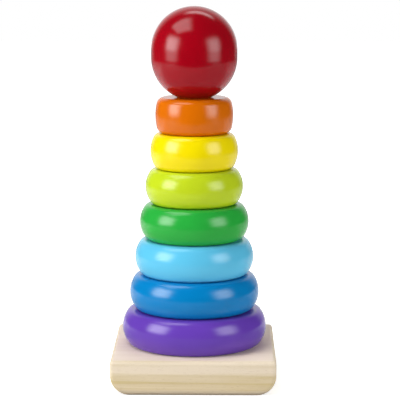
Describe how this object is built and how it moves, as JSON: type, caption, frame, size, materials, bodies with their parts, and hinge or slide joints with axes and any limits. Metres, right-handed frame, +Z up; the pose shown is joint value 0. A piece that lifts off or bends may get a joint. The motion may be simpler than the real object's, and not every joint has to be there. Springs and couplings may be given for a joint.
{
  "type": "ring stacking toy",
  "caption": "Wooden stacking toy: graded lacquered rings threaded on an upright dowel in a square block base, with a ball on the tip.",
  "frame": {"origin": "centre of the base's underside, on the post's axis", "axes": "+Z up the post, +X to the right along the base's front face, +Y to the back; the base's rounded bottom edges are its left and right ones"},
  "size_m": [0.1024, 0.1024, 0.2362],
  "materials": {
    "base": "sanded bare pale wood",
    "post": "sanded bare pale wood",
    "post_screw": "zinc-plated steel",
    "ring_purple": "glossy lacquer over wood",
    "ring_blue": "glossy lacquer over wood",
    "ring_light_blue": "glossy lacquer over wood",
    "ring_green": "glossy lacquer over wood",
    "ring_lime": "glossy lacquer over wood",
    "ring_yellow": "glossy lacquer over wood",
    "ring_orange": "glossy lacquer over wood",
    "ball": "glossy lacquer over wood"
  },
  "bodies": {
    "stand": {"base": "base", "post": "post", "post_screw": "post_screw"},
    "ring_purple": {"ring_purple": "ring_purple"},
    "ring_blue": {"ring_blue": "ring_blue"},
    "ring_light_blue": {"ring_light_blue": "ring_light_blue"},
    "ring_green": {"ring_green": "ring_green"},
    "ring_lime": {"ring_lime": "ring_lime"},
    "ring_yellow": {"ring_yellow": "ring_yellow"},
    "ring_orange": {"ring_orange": "ring_orange"},
    "ball": {"ball": "ball"}
  },
  "joints": [
    {"name": "ring_purple_lift", "type": "slide", "parent": "stand", "child": "ring_purple", "axis": [0, 0, 1], "range_m": [0, 0.1845]},
    {"name": "ring_blue_lift", "type": "slide", "parent": "ring_purple", "child": "ring_blue", "axis": [0, 0, 1], "range_m": [0, 0.162]},
    {"name": "ring_light_blue_lift", "type": "slide", "parent": "ring_blue", "child": "ring_light_blue", "axis": [0, 0, 1], "range_m": [0, 0.1395]},
    {"name": "ring_green_lift", "type": "slide", "parent": "ring_light_blue", "child": "ring_green", "axis": [0, 0, 1], "range_m": [0, 0.117]},
    {"name": "ring_lime_lift", "type": "slide", "parent": "ring_green", "child": "ring_lime", "axis": [0, 0, 1], "range_m": [0, 0.0945]},
    {"name": "ring_yellow_lift", "type": "slide", "parent": "ring_lime", "child": "ring_yellow", "axis": [0, 0, 1], "range_m": [0, 0.072]},
    {"name": "ring_orange_lift", "type": "slide", "parent": "ring_yellow", "child": "ring_orange", "axis": [0, 0, 1], "range_m": [0, 0.0495]},
    {"name": "ball_lift", "type": "slide", "parent": "ring_orange", "child": "ball", "axis": [0, 0, 1], "range_m": [0, 0.027]}
  ]
}
